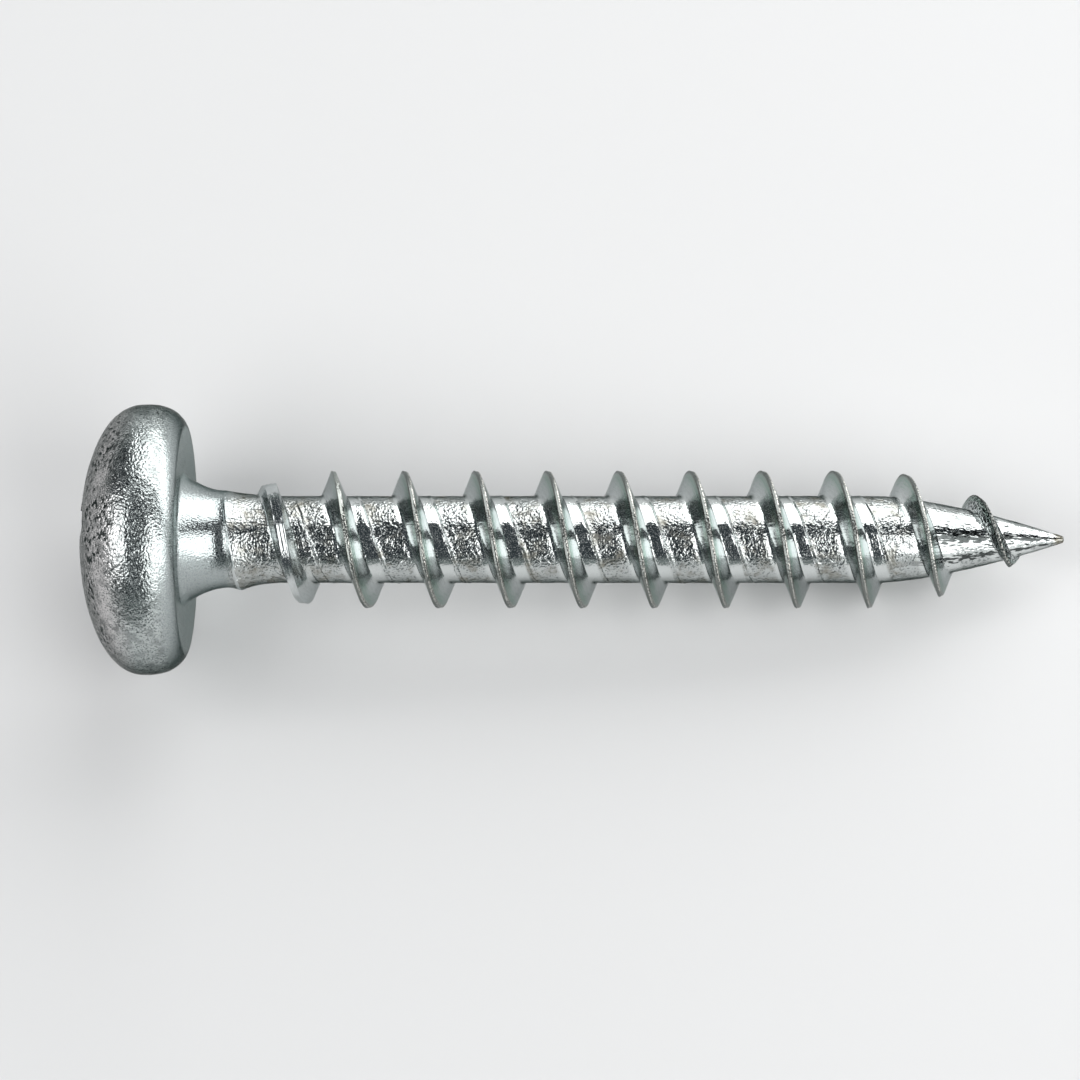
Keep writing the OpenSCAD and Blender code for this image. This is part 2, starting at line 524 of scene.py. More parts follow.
def thread_sizes(head, shank):
    """Sizes that the threaded shank is made from, by the names of its tree's inputs. They are named as
    the shank's own sizes are, with radii in place of diameters."""
    sizes = {"Neck radius": head.neck_diameter / 2}
    for item in shank.bl_rna.properties:
        if item.type == "FLOAT":
            value = getattr(shank, item.identifier)
            if item.name.endswith("diameter"):
                sizes[item.name.replace("diameter", "radius")] = value / 2
            else:
                sizes[item.name] = value
    return sizes


def thread_shape(add, size, distance):
    """Adds the nodes for the core's radius, the ridge's height and the ridge's rise at a distance
    along the screw, and returns their outputs."""
    root_end = add(MATH, (size["Neck length"], ROOT_LENGTH), "ADD")
    root_radius = add(MATH, (size["Blank radius"], ROOT_STEP), "SUBTRACT")
    shank = add(RANGE, (distance, size["Neck length"], root_end, root_radius, size["Core radius"]))
    point_start = add(MATH, (size["Length"], size["Point length"]), "SUBTRACT")
    narrowed = add(RANGE, (distance, point_start, size["Length"]))
    narrowed = add(MATH, (narrowed, POINT_FULLNESS), "POWER")
    core = add(MIX, (narrowed, shank, size["Point radius"]))
    bare_start = add(MATH, (size["Length"], size["Bare length"]), "SUBTRACT")
    fade_start = add(MATH, (bare_start, size["Fade length"]), "SUBTRACT")
    bare_share = add(MATH, (size["Bare length"], size["Point length"]), "DIVIDE")
    bare_share = add(MATH, (1.0, bare_share), "SUBTRACT")
    bare_share = add(MATH, (bare_share, POINT_FULLNESS), "POWER")
    end_radius = add(MIX, (bare_share, size["Core radius"], size["Point radius"]))
    faded = add(RANGE, (distance, fade_start, bare_start))
    faded = add(MATH, (faded, FADE_FULLNESS), "POWER")
    crest = add(MIX, (faded, size["Thread radius"], end_radius))
    run_end = add(MATH, (size["Neck length"], size["Run-in"]), "ADD")
    rise = add(RANGE, (distance, size["Neck length"], run_end, 1.0, 0.0))
    rise = add(MATH, (rise, RUN_IN_FULLNESS), "POWER")
    rise = add(MATH, (1.0, rise), "SUBTRACT")
    height = add(MATH, (crest, core), "SUBTRACT")
    height = add(MATH, (height, 0.0), "MAXIMUM")
    height = add(MATH, (height, rise), "MULTIPLY")
    ridged = add(MATH, (distance, bare_start), "LESS_THAN")
    height = add(MATH, (height, ridged), "MULTIPLY")
    return core, height, rise


def ridge_place(add, size, turns):
    """Adds the nodes for the middle of the ridge after so many turns, and for the half widths of its
    crest and of its flanks, and returns their outputs."""
    even = add(MATH, (turns, size["Pitch"]), "MULTIPLY")
    shift = add(RANGE, (even, *FIRST_SHIFT_FADE, FIRST_SHIFT, 0.0))
    middle = add(MATH, (even, shift), "ADD")
    waver = add(NOISE, (turns, RIDGE_WAVES, 2.0), noise_dimensions="1D")
    waver = add(MATH, (waver, RIDGE_WAVER, -RIDGE_WAVER / 2), "MULTIPLY_ADD")
    middle = add(MATH, (middle, waver), "ADD")
    _, height, rise = thread_shape(add, size, middle)
    crest = add(MIX, (rise, size["First crest width"], size["Crest width"]))
    crest = add(MATH, (crest, 0.5), "MULTIPLY")
    slope = add(MATH, (size["Flank angle"], 0.5), "MULTIPLY")
    slope = add(MATH, (slope,), "TANGENT")
    flank = add(MATH, (height, slope), "MULTIPLY")
    flank = add(MATH, (flank, 1 - FOOT_HEIGHT, crest), "MULTIPLY_ADD")
    return middle, crest, flank


def wound_place(add, distance, radius, turn):
    """Adds the nodes for the place at a distance along the screw, a radius and a turn, and returns it."""
    across = add(MATH, (turn,), "COSINE")
    upward = add(MATH, (turn,), "SINE")
    across = add(MATH, (across, radius), "MULTIPLY")
    upward = add(MATH, (upward, radius), "MULTIPLY")
    return add(COMBINE, (distance, across, upward))


def thread_tree(size_names):
    """Geometry Nodes tree of the threaded shank: a grid wound round the screw, whose rows follow the
    ridge's crest, flanks and foot, joined to the neck of the head that it is given."""
    tree = bpy.data.node_groups.new("Threaded shank", "GeometryNodeTree")
    kinds = {name: "NodeSocketFloat" for name in size_names}
    kinds.update({"Seed": "NodeSocketInt", "Head": "NodeSocketObject", "Finish": "NodeSocketMaterial"})
    for name, kind in kinds.items():
        tree.interface.new_socket(name, in_out="INPUT", socket_type=kind)
    tree.interface.new_socket("Geometry", in_out="OUTPUT", socket_type="NodeSocketGeometry")
    add = partial(add_node, tree)
    given = tree.nodes.new("NodeGroupInput")
    size = {socket.name: socket for socket in given.outputs}
    rows_a_ridge = sum(ROW_COUNTS)

    # The flat grid has a column for each side, and rows for one ridge more at each end of the screw
    ridges = add(MATH, (size["Length"], size["Pitch"]), "DIVIDE")
    ridges = add(MATH, (ridges,), "CEIL")
    ridges = add(MATH, (ridges, 3.0), "ADD")
    last_row = add(MATH, (ridges, rows_a_ridge), "MULTIPLY")
    row_count = add(MATH, (last_row, 1.0), "ADD")
    grid = add("GeometryNodeMeshGrid", (1.0, 1.0, row_count, SIDES + 1))
    flat = add("GeometryNodeInputPosition")
    flat = add(SEPARATE, (flat,))
    row = add(MATH, (flat, 0.5), "ADD")
    row = add(MATH, (row, last_row), "MULTIPLY")
    row = add(MATH, (row,), "ROUND")
    side = add(MATH, (flat.node.outputs["Y"], SIDES, SIDES / 2), "MULTIPLY_ADD")
    side = add(MATH, (side,), "ROUND")
    round_share = add(MATH, (side, SIDES), "DIVIDE")
    turn = add(MATH, (round_share, math.tau), "MULTIPLY")
    ridge = add(MATH, (row, rows_a_ridge), "DIVIDE")
    ridge = add(MATH, (ridge,), "FLOOR")
    row_here = add(MATH, (ridge, -rows_a_ridge, row), "MULTIPLY_ADD")
    turns = add(MATH, (ridge, round_share), "ADD")
    turns = add(MATH, (turns, 1.0), "SUBTRACT")
    turns_on = add(MATH, (turns, 1.0), "ADD")
    middle, crest_half, flank_half = ridge_place(add, size, turns)
    middle_on, _, flank_half_on = ridge_place(add, size, turns_on)

    # How far each stretch across the ridge has been passed, from 0 to 1
    passed = []
    start = 0
    for count in ROW_COUNTS:
        passed.append(add(RANGE, (row_here, start, start + count)))
        start += count

    # Distance along the screw
    flank_run = add(MATH, (flank_half, crest_half), "SUBTRACT")
    left_foot = add(MATH, (middle, flank_half), "SUBTRACT")
    place = add(MATH, (left_foot, FOOT_WIDTH), "SUBTRACT")
    crest_width = add(MATH, (crest_half, 2.0), "MULTIPLY")
    for share, width in zip(passed, (FOOT_WIDTH, flank_run, crest_width, flank_run, FOOT_WIDTH)):
        place = add(MATH, (share, width, place), "MULTIPLY_ADD")
    next_foot = add(MATH, (middle_on, flank_half_on), "SUBTRACT")
    next_foot = add(MATH, (next_foot, FOOT_WIDTH), "SUBTRACT")
    from_top = add(MATH, (turn, PICTURE_TOP), "SUBTRACT")
    from_top = add(MATH, (from_top,), "COSINE")
    fold = add(MATH, (from_top, -FOLD_SWING, FOLD_MIDDLE), "MULTIPLY_ADD")
    fold = add(MATH, (middle, fold), "ADD")
    waver = add(NOISE, (turns, FOLD_WAVES, 3.0, 0.7), noise_dimensions="1D")
    waver = add(MATH, (waver, FOLD_WAVER, -FOLD_WAVER / 2), "MULTIPLY_ADD")
    fold = add(MATH, (fold, waver), "ADD")
    fold_start = add(MATH, (fold, FOLD_WIDTH / 2), "SUBTRACT")
    fold_end = add(MATH, (fold, FOLD_WIDTH / 2), "ADD")
    for share, end in zip(passed[5:], (fold_start, fold_end, next_foot)):
        place = add(MIX, (share, place, end))
    lip = add(MATH, (from_top, -LIP_SWING, LIP_MIDDLE), "MULTIPLY_ADD")
    place = add(MATH, (place, lip), "MAXIMUM")
    place = add(MATH, (place, size["Length"]), "MINIMUM")

    # Share of the ridge's height
    foot_in = add(MATH, (passed[0], FOOT_FULLNESS), "POWER")
    foot_out = add(MATH, (1.0, passed[4]), "SUBTRACT")
    foot_out = add(MATH, (foot_out, FOOT_FULLNESS), "POWER")
    up = add(MATH, (passed[1], passed[3]), "SUBTRACT")
    share = add(MATH, (foot_in, foot_out), "ADD")
    share = add(MATH, (share, 1.0), "SUBTRACT")
    share = add(MATH, (share, FOOT_HEIGHT), "MULTIPLY")
    share = add(MATH, (up, 1 - FOOT_HEIGHT, share), "MULTIPLY_ADD")
    on_crest = add(MATH, (share, 0.99), "GREATER_THAN")

    # Radius of the core, raised at the lip where the neck ends and along the fold line
    core, height, rise = thread_shape(add, size, place)
    grown_by = add(MATH, (lip, GROW_LENGTH), "ADD")
    grown = add(RANGE, (place, lip, grown_by))
    height = add(MATH, (height, grown), "MULTIPLY")
    neck_share = add(RANGE, (lip, 0.0, size["Neck length"], 1.0, 0.0))
    neck_share = add(MATH, (neck_share, 2.0), "POWER")
    neck = add(MIX, (neck_share, size["Blank radius"], size["Neck radius"]))
    pushed = add(MATH, (from_top, -LIP_RISE_SWING, LIP_RISE), "MULTIPLY_ADD")
    neck = add(MATH, (neck, pushed), "ADD")
    core_at_lip, _, _ = thread_shape(add, size, lip)
    pushed = add(MATH, (neck, core_at_lip), "SUBTRACT")
    lip_end = add(MATH, (lip, LIP_FADE), "ADD")
    lip_left = add(RANGE, (place, lip, lip_end, 1.0, 0.0))
    lip_left = add(MATH, (lip_left, 2.0), "POWER")
    radius = add(MATH, (pushed, lip_left, core), "MULTIPLY_ADD")
    radius = add(MATH, (share, height, radius), "MULTIPLY_ADD")
    wave = add(MATH, (passed[6], math.tau), "MULTIPLY")
    wave = add(MATH, (wave,), "SINE")
    past_lip = add(RANGE, (place, *FOLD_START))
    before_point = add(RANGE, (place, *FOLD_END, 1.0, 0.0))
    fold_height = add(MATH, (past_lip, before_point), "MULTIPLY")
    fold_height = add(MATH, (fold_height, -FOLD_HEIGHT), "MULTIPLY")
    radius = add(MATH, (wave, fold_height, radius), "MULTIPLY_ADD")

    # Small hollows and lumps, and nicks in the crest
    where = wound_place(add, place, radius, turn)
    moved = add(MATH, (size["Seed"], MM), "MULTIPLY")
    where = add(VECTOR, (where, moved), "ADD")
    lumps = add(NOISE, (where, 1 / LUMP_WIDTH, 3.0, 0.6))
    lumps = add(MATH, (lumps, 0.5), "SUBTRACT")
    nicks = add(NOISE, (where, 1 / NICK_WIDTH, 2.0))
    nicks = add(RANGE, (nicks, *NICK_RANGE, 0.0, -NICK_DEPTH))
    nicks = add(MATH, (nicks, on_crest), "MULTIPLY")

    # A shallow groove along the crest, and three along the blunt crest where the ridge starts
    grooves = []
    for count, depth in ((3, FIRST_GROOVE_DEPTH), (1, GROOVE_DEPTH)):
        groove = add(MATH, (passed[2], count * math.tau), "MULTIPLY")
        groove = add(MATH, (groove,), "COSINE")
        grooves.append(add(MATH, (groove, depth, -depth), "MULTIPLY_ADD"))
    groove = add(MIX, (rise, *grooves))
    nicks = add(MATH, (nicks, groove), "ADD")

    # The crest is rounded more on its side towards the point
    rounded = add(MATH, (share, 3.0), "POWER")
    rounded = add(MATH, (rounded, passed[2]), "MULTIPLY")
    rounded = add(MATH, (rounded, passed[2]), "MULTIPLY")
    nicks = add(MATH, (rounded, -CREST_ROUND, nicks), "MULTIPLY_ADD")
    start_room = add(MATH, (lip_left, -1.0, 1.0), "MULTIPLY_ADD")
    end_room = add(RANGE, (place, *LUMPS_END, 1.0, 0.0))
    room = add(MATH, (start_room, end_room), "MULTIPLY")
    lumps = add(MATH, (lumps, LUMP_HEIGHT, nicks), "MULTIPLY_ADD")
    radius = add(MATH, (lumps, room, radius), "MULTIPLY_ADD")
    where = wound_place(add, place, radius, turn)

    # The share of the height and the place across the crest are kept for the finish. They are stored
    # while the grid is still flat, because they are worked out from it.
    wound = grid
    for name, value in (("ridge", share), ("crest", passed[2])):
        inputs = {"Geometry": wound, "Name": name, "Value": value}
        wound = add("GeometryNodeStoreNamedAttribute", inputs, data_type="FLOAT", domain="POINT")
    wound = add("GeometryNodeSetPosition", {"Geometry": wound, "Position": where})
    head = add("GeometryNodeObjectInfo", {"Object": size["Head"]}).node.outputs["Geometry"]
    joined = tree.nodes.new("GeometryNodeJoinGeometry")
    tree.links.new(wound, joined.inputs[0])
    tree.links.new(head, joined.inputs[0])
    inputs = {"Geometry": joined.outputs[0], "Distance": MERGE_DISTANCE}
    whole = add("GeometryNodeMergeByDistance", inputs)
    bend = add("GeometryNodeInputMeshEdgeAngle")
    soft = add(MATH, (bend, SHARP_BEND), "LESS_THAN")
    for domain, smooth in (("FACE", True), ("EDGE", soft)):
        inputs = {"Geometry": whole, "Shade Smooth": smooth}
        whole = add("GeometryNodeSetShadeSmooth", inputs, domain=domain)
    whole = add("GeometryNodeRealizeInstances", {"Geometry": whole})
    whole = add("GeometryNodeSetMaterial", {"Geometry": whole, "Material": size["Finish"]})
    result = tree.nodes.new("NodeGroupOutput")
    tree.links.new(whole, result.inputs[0])
    return tree


def close_point(mesh, shank):
    """Closes the thread's open end with a small blunt dome."""
    ring = [edge for edge in mesh.edges if edge.is_boundary]
    if len(ring) != SIDES:
        raise RuntimeError(f"the point's open end has {len(ring)} edges, not {SIDES}")
    for past_end, share in POINT_RINGS:
        made = bmesh.ops.extrude_edge_only(mesh, edges=ring)["geom"]
        for corner in made:
            if isinstance(corner, bmesh.types.BMVert):
                shrink = share * shank.point_diameter / 2 / corner.co.yz.length
                corner.co = (shank.length + past_end, corner.co.y * shrink, corner.co.z * shrink)
        ring = [item for item in made if isinstance(item, bmesh.types.BMEdge)]
    corners = list({corner for edge in ring for corner in edge.verts})
    bmesh.ops.pointmerge(mesh, verts=corners, merge_co=(shank.length + POINT_TIP, 0, 0))


class SCREW_OT_thread(bpy.types.Operator):
    """Wind the threaded shank round the screw, join it to the neck and lay the screw down"""

    bl_idname = "screw.thread"
    bl_label = "Threaded shank"

    def execute(self, context):
        shank = context.scene.screw_shank
        blank = bpy.data.objects.get("head_blank")
        if blank is None:
            raise RuntimeError("make the head before the thread")
        sizes = thread_sizes(context.scene.screw_head, shank)
        tree = thread_tree(sizes)
        screw = bpy.data.objects.new("zinc_plated_screw", bpy.data.meshes.new("zinc_plated_screw"))
        context.scene.collection.objects.link(screw)
        wind = screw.modifiers.new("Threaded shank", "NODES")
        wind.node_group = tree
        finish = zinc_plating(context.scene.zinc_finish, shank.pitch / MM)
        values = {**sizes, "Seed": shank.seed, "Head": blank, "Finish": finish}
        for item in tree.interface.items_tree:
            if item.in_out == "INPUT":
                wind[item.identifier] = values[item.name]
        data = apply_modifiers(screw)
        data.name = "zinc_plated_screw_mesh"
        discard(blank)
        mesh = bmesh.new()
        mesh.from_mesh(data)
        close_point(mesh, shank)
        bmesh.ops.recalc_face_normals(mesh, faces=mesh.faces)
        if any(not edge.is_manifold for edge in mesh.edges):
            raise RuntimeError("the screw's surface isn't closed")
        mesh.transform(screw_frame())
        mesh.to_mesh(data)
        mesh.free()
        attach(screw, "root")
        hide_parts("screw")
        return {"FINISHED"}


def zinc_plating(finish, pitch):
    """Bright zinc plating on cold-formed steel. The eye sees a cool mirror, dulled by fine pits on the
    head, clear on the neck and the flanks, and speckled where the thread rolls pressed the core. All
    its lengths are in millimetres."""
    material = bpy.data.materials.new("Bright zinc plating")
    material.use_nodes = True
    tree = material.node_tree
    tree.nodes.clear()
    add = partial(add_node, tree)
    surface = tree.nodes.new("ShaderNodeBsdfPrincipled")
    output = tree.nodes.new("ShaderNodeOutputMaterial")
    tree.links.new(surface.outputs[0], output.inputs["Surface"])
    surface.inputs["Metallic"].default_value = 1.0

    # Place in the screw's own frame
    back = screw_frame().inverted()
    scale = (1 / MM, 1 / MM, 1 / MM)
    place = add("ShaderNodeTexCoord").node.outputs["Object"]
    place = add("ShaderNodeMapping", (place, back.translation / MM, back.to_euler(), scale))
    along = add(SEPARATE, (place,))
    side = along.node.outputs["Y"]
    up = along.node.outputs["Z"]
    turn = add(MATH, (up, side), "ARCTAN2")
    radius = add(COMBINE, (0.0, side, up))
    radius = add(VECTOR, (radius,), "LENGTH")
    ridge = add("ShaderNodeAttribute", attribute_name="ridge").node.outputs["Fac"]
    crest = add("ShaderNodeAttribute", attribute_name="crest").node.outputs["Fac"]

    # Distance past the crest of the ridge, from 0 to one pitch
    turned = add(MATH, (turn, -1 / math.tau), "MULTIPLY")
    past = add(MATH, (along, 1 / pitch, turned), "MULTIPLY_ADD")
    past = add(MATH, (past,), "FRACT")
    past = add(MATH, (past, pitch), "MULTIPLY")

    # Where each finish lies, from 0 to 1: on the head and neck
    on_crown = add(RANGE, (along, -1.9, -1.2, 1.0, 0.0))
    on_head = add(RANGE, (along, -0.5, -0.2, 1.0, 0.0), interpolation_type="SMOOTHSTEP")
    past_face = add(RANGE, (along, 0.05, 0.15))
    past_neck = add(RANGE, (along, 1.15, 1.5), interpolation_type="SMOOTHSTEP")
    on_neck = add(MATH, (1.0, past_neck), "SUBTRACT")
    on_neck = add(MATH, (on_neck, on_head), "SUBTRACT")
    # From the rim's foot to the end of the neck, which take the neck's colour; on the rim towards the
    # bearing face its darker tone is painted shade
    neck_tone_and_rim_shade = add(RANGE, (along, -0.52, -0.2))
    neck_tone_and_rim_shade = add(MATH, (neck_tone_and_rim_shade, past_neck), "SUBTRACT")
    on_rim = add(RANGE, (radius, 3.15, 3.3))
    on_rim = add(MATH, (on_rim, on_head), "MAXIMUM")

    # On the ridge, the last one of which stands on the point, and on the core between
    off_ridge = add(RANGE, (ridge, 0.0, 0.1, 1.0, 0.0))
    on_ridge = add(MATH, (1.0, off_ridge), "SUBTRACT")
    started = add(RANGE, (along, 3.6, 5.0))
    on_crest = add(RANGE, (ridge, 0.84, 0.94, 0.0, started))
    last_ridge = add(RANGE, (along, 21.9, 22.5, 0.0, on_ridge))
    on_core = add(MATH, (past_neck, off_ridge), "MULTIPLY")
    on_point = add(RANGE, (along, 20.0, 21.5))
    drawn = add(MATH, (on_core, on_point), "MULTIPLY")

    # Where the rolls pressed the core, from the fold line to the next ridge's foot
    past_fold = add(RANGE, (past, 0.66, 0.76), interpolation_type="SMOOTHSTEP")
    before_foot = add(RANGE, (past, 1.5, 1.66, 1.0, 0.0), interpolation_type="SMOOTHSTEP")
    rolled = add(MATH, (past_fold, before_foot), "MULTIPLY")
    near_lip = add(RANGE, (along, 3.2, 3.8, 1.0, 0.0))
    rolled = add(MATH, (rolled, near_lip), "MAXIMUM")
    rolled = add(MATH, (rolled, on_core), "MULTIPLY")
    pressed = add(RANGE, (on_point, 0.0, 1.0, rolled, 0.0))

    # Grain of the plating, 0.07 mm on the head and the pressed core and 0.045 mm elsewhere, matt grains
    # of 0.02 mm, and mottling 0.3 and 1.1 mm wide
    coarse_grain = add(NOISE, (place, 1 / 0.07, 0.8))
    pressed_grain = add(NOISE, (place, 1 / 0.07, 1.0, 0.4))
    fine_grain = add(NOISE, (place, 1 / 0.045, 0.0))
    matt_grain = add(NOISE, (place, 1 / 0.02, 0.0))
    mottle = add(NOISE, (place, 1 / 0.3, 2.0))
    wide_mottle = add(NOISE, (place, 1 / 1.1, 2.0, 0.55))

    # Grain of the point, drawn out to 0.4 mm along the screw
    drawn_grain = add(VECTOR, (place, (1 / 0.4, 1 / 0.06, 1 / 0.06)), "MULTIPLY")
    drawn_grain = add(NOISE, (drawn_grain, 1.0, 1.0))

    # Flecks on the crown, 0.16 mm wide
    flecks = add(VECTOR, (place, (1 / 0.1, 1 / 0.16, 1 / 0.16)), "MULTIPLY")
    flecks = add(NOISE, (flecks, 1.0, 2.0, 0.55))
    flecks = add(MATH, (flecks, 0.5), "SUBTRACT")
    flecked = add(RANGE, (wide_mottle, 0.36, 0.5, 0.0, on_crown))

    # Creases that the thread rolls leave on the core: broken lines about 0.6 mm apart
    bent = mottle.node.outputs["Color"]
    bent = add(VECTOR, (bent, (0.3, 0.3, 0.3)), "MULTIPLY")
    bent = add(VECTOR, (place, bent), "ADD")
    creases = add(CELLS, (bent, 1 / 0.6), feature="DISTANCE_TO_EDGE")
    shown = add(RANGE, (wide_mottle, 0.48, 0.56))
    creases = add(RANGE, (creases, 0.0, 0.035, shown, 0.0))

    # Round dents with raised rims, about 0.4 mm wide, in some places of the core
    dents = add(CELLS, (bent, 1 / 0.8), feature="F1")
    chosen = add(SEPARATE, (dents.node.outputs["Color"],))
    chosen = add(MATH, (chosen, 0.5), "GREATER_THAN")
    dents = add(MATH, (dents, 0.27), "SUBTRACT")
    dents = add(MATH, (dents,), "ABSOLUTE")
    dents = add(RANGE, (dents, 0.0, 0.05, chosen, 0.0))
    marks = add(MATH, (creases, dents), "MAXIMUM")

    # Fine rings round the first turn, 0.05 mm apart
    rings = add(VECTOR, (place, (1 / 0.05, 1 / 0.9, 1 / 0.9)), "MULTIPLY")
    rings = add(NOISE, (rings, 1.0, 1.0))
    ringed = add(RANGE, (along, 2.4, 3.4, on_core, 0.0))

    # Rolling lines along the blunt first ridge, 0.05 mm apart
    lines = add(MATH, (past, 1 / 0.05), "MULTIPLY")
    lines = add(COMBINE, (lines, 0.0, 0.0))
    lines = add(NOISE, (lines, 1.0, 0.0))
    lined = add(RANGE, (started, 0.0, 1.0, on_ridge, 0.0))

    # Brushing of the flanks along the thread, 0.05 mm apart
    brushed = add(COMBINE, (radius, turn, along))
    brushed = add(VECTOR, (brushed, (1 / 0.05, 3.0, 0.0)), "MULTIPLY")
    brushed = add(NOISE, (brushed, 1.0, 1.0))

    # Height of the surface: each pattern, its height everywhere, and how much more it has in some places
    reliefs = (
        (coarse_grain, 0.0, ((on_head, 0.02),)),
        (pressed_grain, 0.0, ((pressed, 0.02), (last_ridge, 0.04))),
        (drawn_grain, 0.0, ((drawn, 0.01),)),
        (flecks, 0.0, ((flecked, 0.06),)),
        (fine_grain, 0.001, ((off_ridge, 0.003), (on_neck, 0.003), (on_crest, 0.012))),
        (mottle, 0.0006, ((on_head, 0.01), (pressed, 0.011))),
        (marks, 0.0, ((pressed, 0.01),)),
        (rings, 0.0, ((ringed, 0.006),)),
        (lines, 0.0, ((lined, 0.012),)),
        (brushed, 0.0, ((on_ridge, 0.004),)),
    )
    height = 0.0
    for pattern, depth, places in reliefs:
        for share, more in places:
            depth = add(MATH, (share, more, depth), "MULTIPLY_ADD")
        height = add(MATH, (pattern, depth, height), "MULTIPLY_ADD")
    bump = add("ShaderNodeBump", {"Strength": 1.0, "Distance": MM, "Height": height})
    tree.links.new(bump, surface.inputs["Normal"])

    # Dull film in patches on the core
    film = add(NOISE, (place, 1 / 0.5, 3.0, 0.6))
    film = add(RANGE, (film, 0.48, 0.7, 0.0, pressed))

    # Roughness. Between the clear grains lie matt ones, most of all on the head.
    matt = matt_grain
    for share, more in ((on_head, -0.02), (on_core, -0.1), (on_ridge, -0.12)):
        matt = add(MATH, (share, more, matt), "MULTIPLY_ADD")
    matt = add(RANGE, (matt, 0.57, 0.6))
    rough = 0.04
    for share, more in (
        (on_head, 0.06),
        (matt, 0.36),
        (on_ridge, 0.1),
        (on_crest, 0.06),
        (film, 0.3),
        (wide_mottle, 0.03),
    ):
        rough = add(MATH, (share, more, rough), "MULTIPLY_ADD")
    tree.links.new(rough, surface.inputs["Roughness"])

    # Outer part of the flanks, with a brushed edge
    outer = add(MATH, (brushed, 1.0, ridge), "MULTIPLY_ADD")
    outer = add(RANGE, (outer, 0.9, 1.3, 0.0, started))

    # Dull places: the rolled core, flecks on the crown, pits and clouds on the head, specks of the
    # rolled surface, scuffs on the flanks, and the groove and beads of the crest. Each pattern is as
    # dull as its strength says at the first value, and clear at the second.
    dark_flecks = add(RANGE, (flecks, -0.09, -0.03, flecked, 0.0))
    pitted = add(MATH, (on_neck, 0.3, on_head), "MULTIPLY_ADD")
    specked = add(MATH, (rolled, last_ridge), "MAXIMUM")
    dull = add(MATH, (rolled, 0.27), "MULTIPLY")
    dull = add(MATH, (dull, dark_flecks), "MAXIMUM")
    for pattern, dullest, clear, strength, where in (
        (fine_grain, 0.34, 0.46, 0.85, pitted),
        (mottle, 0.36, 0.54, 0.5, on_head),
        (pressed_grain, 0.38, 0.44, 0.75, specked),
        (brushed, 0.36, 0.5, 0.2, on_ridge),
        (crest, 0.6, 0.72, 1.0, on_crest),
        (fine_grain, 0.42, 0.52, 1.0, on_crest),
    ):
        share = add(RANGE, (pattern, dullest, clear, strength, 0.0))
        share = add(MATH, (share, where), "MULTIPLY")
        dull = add(MATH, (dull, share), "MAXIMUM")
    dull = add(MATH, (dull, 0.8), "MULTIPLY")

    # Dark streaks along the point, close together on its upper side, where they are partly painted dark
    # reflection, dark scales on the last ridge, and the darkest of the flecks
    streak_and_reflection_bands = 0.0
    for middle, half_width in ((1.86, 0.4), (2.53, 0.18)):
        off_band = add(MATH, (turn, middle), "SUBTRACT")
        off_band = add(MATH, (off_band,), "ABSOLUTE")
        streak_and_reflection_band = add(RANGE, (off_band, 0.0, half_width, 1.0, 0.0))
        streak_and_reflection_bands = add(MATH, (streak_and_reflection_band, streak_and_reflection_bands), "MAXIMUM")
    streaks_and_shade = add(MATH, (streak_and_reflection_bands, -0.31, drawn_grain), "MULTIPLY_ADD")
    streaks_and_shade = add(RANGE, (streaks_and_shade, 0.3, 0.38, drawn, 0.0))
    scales = add(RANGE, (pressed_grain, 0.44, 0.52, last_ridge, 0.0))
    streaks_and_shade = add(MATH, (streaks_and_shade, scales), "MAXIMUM")
    streaks_and_shade = add(MATH, (streaks_and_shade, 0.9), "MULTIPLY")
    streaks_and_shade = add(MATH, (dark_flecks, 0.75, streaks_and_shade), "MULTIPLY_ADD")

    # Brownish stains on the core, on the film and at the point's tip
    stains = add(NOISE, (place, 1 / 1.4, 4.0, 0.7))
    stains = add(RANGE, (stains, 0.55, 0.75, 0.0, pressed))
    stains = add(MATH, (stains, film), "MAXIMUM")
    tip = add(RANGE, (along, 24.65, 24.85))
    stains = add(MATH, (stains, tip), "MAXIMUM")
    stains = add(MATH, (stains, 0.7), "MULTIPLY")

    # Colours, each laid over the ones before it
    colour = (*finish.head, 1.0)
    for share, tint in (
        (past_neck, finish.plating),
        # The neck's colour over the rim's foot is painted shade
        (neck_tone_and_rim_shade, finish.neck),
        (outer, finish.flank),
        (on_crest, finish.crest),
        (on_crown, finish.crown),
        (on_core, finish.core),
        (dull, finish.dull),
        # The streaks are partly painted dark reflection along the point's upper side
        (streaks_and_shade, finish.streak),
        (stains, finish.stain),
    ):
        colour = add(MIX, (share, colour, (*tint, 1.0)), data_type="RGBA")
    tree.links.new(colour, surface.inputs["Base Color"])

    # Tint of the plating at a slant, partly its own dimmer reflection and partly painted shade that keeps
    # edges dark: darkest on the rim, the neck's foot and the core
    slant_tint_and_shade = linear("A6B0AE")
    for share, tint in (
        (past_face, "66706E"),
        (past_neck, "C8CCCC"),
        (on_rim, "38423F"),
        (on_crown, "8E9392"),
        (on_core, "424C4A"),
    ):
        slant_tint_and_shade = add(MIX, (share, slant_tint_and_shade, linear(tint)), data_type="RGBA")
    tree.links.new(slant_tint_and_shade, surface.inputs["Specular Tint"])
    return material


def plain_material(name, colour):
    """Matt studio paper of one colour."""
    material = bpy.data.materials.new(name)
    material.use_nodes = True
    tree = material.node_tree
    tree.nodes.clear()
    add = partial(add_node, tree)
    surface = add("ShaderNodeBsdfDiffuse", {"Color": (*colour, 1.0)})
    output = tree.nodes.new("ShaderNodeOutputMaterial")
    tree.links.new(surface, output.inputs["Surface"])
    return material


